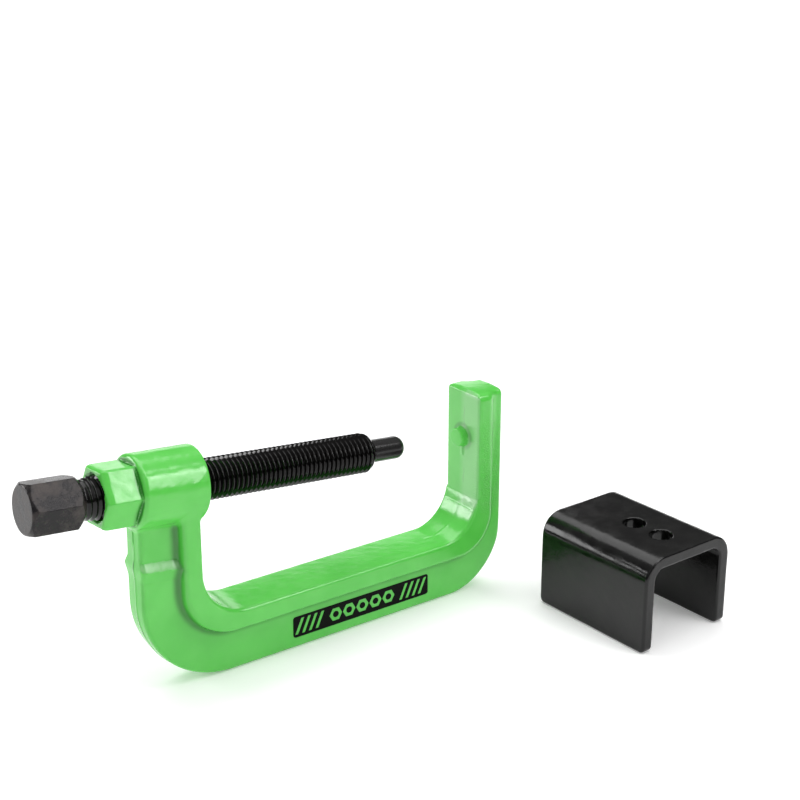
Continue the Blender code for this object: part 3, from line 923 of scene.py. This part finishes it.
def make_label(material):
    low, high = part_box("frame_label")
    centre_x, centre_z = (low.x + high.x) / 2 / MM, (low.z + high.z) / 2 / MM
    half_x, half_z = (high.x - low.x) / 2 / MM, (high.z - low.z) / 2 / MM

    def badge(x, y, z):
        """A plain printed bar with hatching at both ends and a row of nuts left open, and no lettering."""
        across, up = x - centre_x, z - centre_z
        bar = round_max(np.abs(across) - half_x, np.abs(up) - half_z, LABEL_CORNER)
        slanted = np.abs(across) - HATCH_SLANT * up * np.sign(across)
        hatching = np.abs(slanted - half_x + HATCH_CENTRE) - HATCH_HALF_LENGTH
        stripe = np.abs((slanted % HATCH_PITCH) - HATCH_PITCH / 2) - HATCH_HALF_WIDTH
        stripes = round_max(round_max(stripe, hatching, 0.1), np.abs(up) - half_z + LABEL_MARGIN, 0.1)
        nearest = np.clip(np.round(across / NUT_PITCH), -NUTS_EACH_SIDE, NUTS_EACH_SIDE) * NUT_PITCH
        offset = np.abs(across - nearest)
        nut = np.maximum(np.abs(up), offset * 0.866 + np.abs(up) * 0.5) - NUT_HALF_FLATS
        hole = np.hypot(offset, up) - NUT_HOLE_RADIUS
        open_part = np.minimum(stripes, np.maximum(nut, -hole))
        flat = np.abs(y + WEB_HALF_WIDTH) - LABEL_HALF_THICKNESS
        return np.maximum(np.maximum(bar, -open_part), flat)

    step = choose(LABEL_STEPS)
    lines = [
        axis_points(centre_x - half_x - 1, centre_x + half_x + 1, step),
        axis_points(-WEB_HALF_WIDTH - 0.6, -WEB_HALF_WIDTH + 0.6, 0.15),
        axis_points(centre_z - half_z - 1, centre_z + half_z + 1, step),
    ]
    points, quads, _ = surface_mesh(badge, lines)
    piece = add_mesh("frame_badge", points, quads, material, "frame", sharp=35)
    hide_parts("frame_label")


def paint_node(name, material):
    """Gives a carried-over CAD node its material."""
    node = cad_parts[name]
    node.data.materials.clear()
    node.data.materials.append(material)


# ---------------------------------------------------------------- stage


def make_floor():
    mesh = bpy.data.meshes.new("floor")
    corners = [(x * FLOOR_HALF, y * FLOOR_HALF, FLOOR_Z) for x, y in ((-1, -1), (1, -1), (1, 1), (-1, 1))]
    mesh.from_pydata(corners, [], [(0, 1, 2, 3)])
    mesh.materials.append(floor_white())
    floor = bpy.data.objects.new("floor", mesh)
    bpy.context.scene.collection.objects.link(floor)


def softbox(name, place, aim, size, power, tall):
    """A rectangular lamp at place that faces aim, with its height along tall."""
    light = bpy.data.lights.new(name, "AREA")
    light.shape = "RECTANGLE"
    light.size, light.size_y = size
    light.energy = power
    lamp = bpy.data.objects.new(name, light)
    back = (Vector(place) - Vector(aim)).normalized()
    side = Vector(tall).cross(back).normalized()
    turn = Matrix((side, back.cross(side), back)).transposed()
    lamp.matrix_world = Matrix.Translation(place) @ turn.to_4x4()
    bpy.context.scene.collection.objects.link(lamp)


def make_world():
    """A grey surround that brightens upwards."""
    world = bpy.data.worlds.new("studio")
    world.use_nodes = True
    tree = world.node_tree
    back = tree.nodes["Background"]
    place = tree.nodes.new("ShaderNodeTexCoord")
    split = tree.nodes.new("ShaderNodeSeparateXYZ")
    rise = tree.nodes.new("ShaderNodeMapRange")
    rise.interpolation_type = "SMOOTHSTEP"
    for name, value in zip(RANGE_SOCKETS, SKY_RISE + SKY_STRENGTH):
        rise.inputs[name].default_value = value
    tree.links.new(place.outputs["Generated"], split.inputs["Vector"])
    tree.links.new(split.outputs["Z"], rise.inputs["Value"])
    tree.links.new(rise.outputs["Result"], back.inputs["Strength"])
    back.inputs["Color"].default_value = (1, 1, 1, 1)
    bpy.context.scene.world = world


def make_lamps():
    for name, values in SOFTBOXES.items():
        softbox(name, *values)
    overhead = bpy.data.lights.new("overhead", "SUN")
    overhead.energy = OVERHEAD_STRENGTH
    overhead.angle = OVERHEAD_SPREAD
    lamp = bpy.data.objects.new("overhead", overhead)
    lamp.rotation_euler = OVERHEAD_TURN
    bpy.context.scene.collection.objects.link(lamp)


def make_camera():
    camera = bpy.data.cameras.new("camera")
    camera.lens = CAMERA_LENS
    camera.sensor_width = CAMERA_SENSOR
    eye = bpy.data.objects.new("camera", camera)
    eye.location = CAMERA_PLACE
    eye.rotation_euler = CAMERA_TURN
    bpy.context.scene.collection.objects.link(eye)
    bpy.context.scene.camera = eye


enamel = green_enamel()
make_forging(enamel)
make_locating_pin(enamel)
make_screw(thread_black(), head_black(), nose_black())
make_adapter(adapter_black())
make_label(print_black())
steel = bearing_steel()
paint_node("thrust_ball", steel)
paint_node("retaining_ring", steel)
make_floor()
make_world()
make_lamps()
make_camera()
bpy.context.scene.view_settings.view_transform = "Standard"
